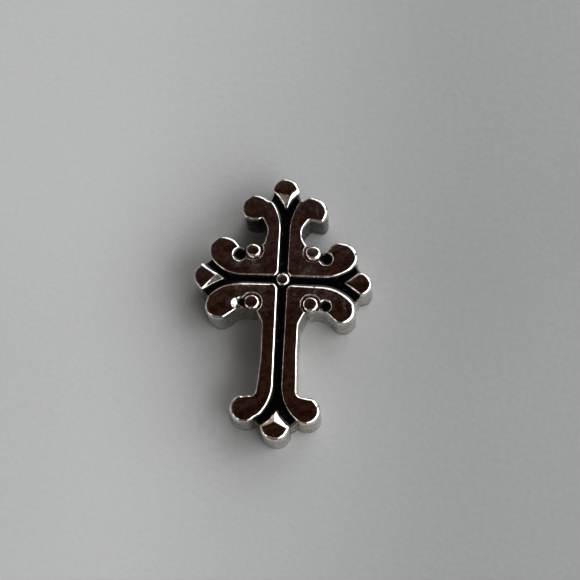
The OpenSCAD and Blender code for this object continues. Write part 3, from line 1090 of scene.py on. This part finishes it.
near_studs = calc(tree, "MAXIMUM", spot(tree, x, y, *UPPER_HAZE),
                  spot(tree, x, y, *LOWER_HAZE))
cloudy = eased(tree, clouds(tree, place, 0.55, 4.0), 0.40, 0.62)
bloom = calc(tree, "MULTIPLY", cloudy, calc(tree, "MULTIPLY_ADD", near_studs, 0.75, 0.25))
worn = hair_lines(tree, place, *SCRATCHES[0])
for scratch in SCRATCHES[1:]:
    worn = calc(tree, "MAXIMUM", worn, hair_lines(tree, place, *scratch))
rubbed = calc(tree, "MULTIPLY", back, hair_lines(tree, place, *PAPER))
mould = eased(tree, total(tree, (0.5, clouds(tree, place, 0.14, 4.0)),
                          (0.5, clouds(tree, place, 0.70, 3.0))), 0.34, 0.66)
print(len(SCRATCHES), "kinds of scratches; silver nodes:", len(tree.nodes))

# %% The silver material
CAST_DARK, CAST_PALE = (0.38, 0.355, 0.315), (0.57, 0.545, 0.50)
# Painted shade in the crooks, darker patches by the mouths, low dark specks, the back.
SHADE_AND_MOUTH_DARK, LOW_SPECK_DARK, PAPERED = (0.035, 0.030, 0.018), (0.12, 0.10, 0.07), (0.72, 0.71, 0.69)
SMOOTHEST = 0.038

# The roughness: how much duller each kind of place is than the smoothest one.
rough = total(tree, (0.065, grain), (0.115, bloom), (0.09, worn), (0.20, wall), (0.12, rubbed))
tree.links.new(calc(tree, "ADD", rough, SMOOTHEST), shader.inputs["Roughness"])
colour = blended(tree, wall, polished, blended(tree, mould, CAST_DARK, CAST_PALE))
# Painted shade: the upper crooks nearly black; the walls by the lowest mouths darker in
# patches.
colour = blended(tree, calc(tree, "MULTIPLY", crook_shade_and_mouth_dark, 0.93), colour, SHADE_AND_MOUTH_DARK)
# Dark specks on the lower walls.
colour = blended(tree, speck, colour, LOW_SPECK_DARK)
colour = blended(tree, back, colour, PAPERED)
tree.links.new(colour, shader.inputs["Base Color"])
# The relief: the wheel's waves, its grain, the scratches, the mould's grain, and the
# paper's lines.
bumped(tree, shader, (5.5, clouds(tree, place, 0.28, 3.0)), (1.2, clouds(tree, place, 0.09)),
       (-0.6, worn), (9.0, calc(tree, "MULTIPLY", wall, mould)), (-1.5, rubbed))
casting.data.materials.clear()
casting.data.materials.append(silver)
print("silver nodes:", len(tree.nodes))

# %% [markdown]
# ## Black enamel
#
# Enamel is glass. It is black all through, and its skin is glossy but not ground flat: it
# keeps slow swells from flowing, a few round dimples where bubbles burst, and dust that
# settled before it set. Voronoi cells give each bubble its own place, and a number that
# differs from cell to cell says which cells have one. Bubbles could be modelled, but they
# are a few thousandths of a millimetre deep, and relief in the material shows them as well.

# %% The enamel material
BLACK, DUST = (0.0004, 0.0004, 0.0006), (0.030, 0.028, 0.026)
BUBBLE_CELL, GLOSS = 0.42, 0.06

black, tree, shader, place = new_material("black_enamel")
dust = eased(tree, clouds(tree, place, 0.07, 1.0), 0.74, 0.80)
tree.links.new(blended(tree, dust, BLACK, DUST), shader.inputs["Base Color"])
cells = node(tree, "ShaderNodeTexVoronoi", {"Vector": place, "Scale": 1 / BUBBLE_CELL})
number = node(tree, "ShaderNodeSeparateColor", {0: cells.outputs["Color"]}).outputs[0]
dimple = calc(tree, "MULTIPLY", eased(tree, number, 0.70, 0.75),
              eased(tree, cells.outputs["Distance"], 0.13, 0.05))
rough = total(tree, (0.10, clouds(tree, place, 0.30, 3.0)), (0.25, dust))
tree.links.new(calc(tree, "ADD", rough, GLOSS), shader.inputs["Roughness"])
# Slow swells, fine ones, the dimples and the dust.
bumped(tree, shader, (10.0, clouds(tree, place, 0.70)), (1.0, clouds(tree, place, 0.12)),
       (-5.0, dimple), (2.0, dust))
for piece in enamel:
    piece.data.materials.append(black)
print("enamel nodes:", len(tree.nodes))

# %% [markdown]
# ## The floor
#
# The charm lies on a plain pale board, painted and rubbed down. Its colour drifts at random,
# and is painted paler on the left and greyer on the right as a painted fall of light, which
# the walls mirror, and a fine grain keeps it from looking like paper cut out of light. A
# single colour would do for a backdrop, but half of what the charm's walls show is this floor.

# %% Floor
DOME_R = 0.3
GREY, PALE = (0.176, 0.180, 0.182), (0.428, 0.437, 0.442)
# How far the painted fall of light runs either side of the middle, in millimetres.
PAINTED_FALLOFF_MM = 9.0

floor_material, tree, shader, place = new_material("pale_floor")
across = node(tree, "ShaderNodeSeparateXYZ", {0: place}).outputs[0]
# Random clouds of tone, and a painted fall of light: paler on the left, greyer on the right.
tone_and_painted_falloff = total(tree, (0.25, clouds(tree, place, 16.0, 1.0)),
             (0.15, clouds(tree, place, 0.25, 3.0)),
             (0.60, eased(tree, across, PAINTED_FALLOFF_MM, -PAINTED_FALLOFF_MM)))
tree.links.new(blended(tree, tone_and_painted_falloff, GREY, PALE), shader.inputs["Base Color"])
tree.links.new(calc(tree, "MULTIPLY_ADD", tone_and_painted_falloff, 0.2, 0.6), shader.inputs["Roughness"])
bumped(tree, shader, (9.0, clouds(tree, place, 0.20, 3.0)))

border = ring_round((0, 0), DOME_R, np.linspace(0, 2 * math.pi, 96, endpoint=False))
mesh = bpy.data.meshes.new("floor")
mesh.from_pydata(np.c_[border, 0 * border[:, 0]].tolist(), [], [list(range(len(border)))])
floor = bpy.data.objects.new("floor", mesh)
floor.data.materials.append(floor_material)
bpy.context.scene.collection.objects.link(floor)
print("floor:", 2 * DOME_R, "m wide")

# %% [markdown]
# ## The studio
#
# A small polished thing shows its surroundings more than itself, so the light is the most
# important part of its look. Lamps would do for a dull thing. A mirror shows their outlines
# and the black between them, so this studio is a whole dome, and every direction has its
# own soft light.
#
# The faces look almost straight up, and mirror what is 70 to 78 degrees high in the north.
# That zone is dark and brown, with three faint bands in it: the wheel's waves break them
# into the mottle on the faces. The rounded edges and the studs look all round, and catch
# the bright soft boxes that stand lower down. The walls mirror the floor and the lowest rows.
#
# A row is one soft box: from one compass direction to another, from one height to another,
# both in degrees, then how soft the edge is, and the colour. East is 0 and north is 90. A
# lower row is painted over the ones above it.

# %% Soft boxes
BASE = (0.045, 0.038, 0.030)
LIGHTS = [
    (-180, 180, 57, 100, 6, (0.048, 0.033, 0.034)),
    (-180, 180, 66, 100, 9, (0.0110, 0.0030, 0.0014)),
    (60, 150, 69.5, 72, 1.5, (0.036, 0.017, 0.013)),
    (60, 150, 75.5, 77.5, 1.5, (0.036, 0.014, 0.009)),
    (60, 150, 81, 83, 1.5, (0.036, 0.015, 0.010)),
    (-85, 25, 50, 75, 4, (0.13, 0.12, 0.105)),
    (-150, -84, 18, 78, 6, (0.17, 0.145, 0.12)),
    (118, 200, 9, 21, 3, (0.60, 0.59, 0.56)),
    (101, 126, 18, 52, 6, (0.42, 0.36, 0.28)),
    (-72, -50, 13, 54.5, 2.5, (1.9, 1.9, 1.9)),
    (-52, 30, 13, 54.5, 2.5, (5.5, 5.5, 5.5)),
    (42, 72, 13, 56, 2.5, (4.2, 4.2, 4.2)),
    (70, 99, 13, 56, 2.5, (1.8, 1.8, 1.8)),
    (-147, -136, 20, 48, 3, (1.6, 1.58, 1.5)),
    (198, 212, 10, 25, 3, (2.0, 2.0, 2.0)),
]
print("soft boxes:", len(LIGHTS), "of which brighter than 1:",
      sum(max(row[-1]) > 1 for row in LIGHTS))

# %% Light for every direction
AZ_STEP, EL_ROWS = 1.5, 76
# A box that goes all the way round is made this much wider, so that it has no soft ends.
PAST_THE_END = 20


def window(value, low, high, soft):
    """One between low and high, zero outside, eased over the softness at each end."""
    t = np.clip((value - low) / soft + 0.5, 0, 1) * np.clip((high - value) / soft + 0.5, 0, 1)
    return t * t * (3 - 2 * t)


az, el = np.meshgrid(np.arange(0, 360, AZ_STEP), np.linspace(0, 90, EL_ROWS))
radiance = np.ones(az.shape + (3,)) * BASE
for a0, a1, e0, e1, soft, colour in LIGHTS:
    away = (az - (a0 + a1) / 2 + 180) % 360 - 180
    half = (a1 - a0) / 2 + (a1 - a0 == 360) * PAST_THE_END
    share = (window(away, -half, half, soft) * window(el, e0, e1, soft))[..., None]
    radiance = radiance * (1 - share) + np.array(colour) * share
print("the dome's light: darkest", round(radiance.min(), 4), "brightest", radiance.max())

# %% [markdown]
# The dome is a mesh whose points carry the light as a colour. A picture wrapped round the
# world would do as well, but this needs no file. The camera doesn't see the dome, so it can
# be small and close, and a plain grey stands behind the floor's edge.

# %% The dome
a, e = np.radians(az), np.radians(el)
points = DOME_R * np.stack([np.cos(e) * np.cos(a), np.cos(e) * np.sin(a), np.sin(e)], axis=-1)
mesh = bpy.data.meshes.new("light_dome")
mesh.from_pydata(points.reshape(-1, 3).tolist(), [],
                 [face[::-1] for face in banded(*az.shape)])
glow = mesh.attributes.new("glow", "FLOAT_COLOR", "POINT")
glow.data.foreach_set("color", np.concatenate(
    [radiance, np.ones(az.shape + (1,))], axis=-1).astype(np.float32).ravel())
dome = bpy.data.objects.new("light_dome", mesh)
bpy.context.scene.collection.objects.link(dome)
print("dome:", len(mesh.polygons), "faces")

# %% Light from its colour
BACKDROP = (0.42, 0.42, 0.41, 1)

dome_material = bpy.data.materials.new("light_dome")
dome_material.use_nodes = True
tree = dome_material.node_tree
tree.nodes.clear()
read = node(tree, "ShaderNodeAttribute", attribute_name="glow")
emit = node(tree, "ShaderNodeEmission", {"Color": read.outputs["Color"], "Strength": 1.0})
node(tree, "ShaderNodeOutputMaterial", {"Surface": emit.outputs[0]})
dome.data.materials.append(dome_material)
dome.visible_camera = False

world = bpy.data.worlds.new("backdrop")
world.use_nodes = True
world.node_tree.nodes["Background"].inputs["Color"].default_value = BACKDROP
bpy.context.scene.world = world
bpy.context.scene.view_settings.view_transform = "Standard"
print("dome nodes:", len(tree.nodes))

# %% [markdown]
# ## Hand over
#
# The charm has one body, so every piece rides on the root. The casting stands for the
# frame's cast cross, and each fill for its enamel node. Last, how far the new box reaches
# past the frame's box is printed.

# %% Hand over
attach(casting, "root")
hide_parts("cast_cross")
for piece in enamel:
    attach(piece, "root")
    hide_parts(piece.name.replace("_fill", ""))
floor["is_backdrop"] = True
dome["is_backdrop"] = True

new_box = [list(corner_at) for corner_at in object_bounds()]
past = (np.array(new_box) - np.array(cad_box)) / MM
print("past the frame's box, mm: low", past[0].round(3), "high", past[1].round(3))
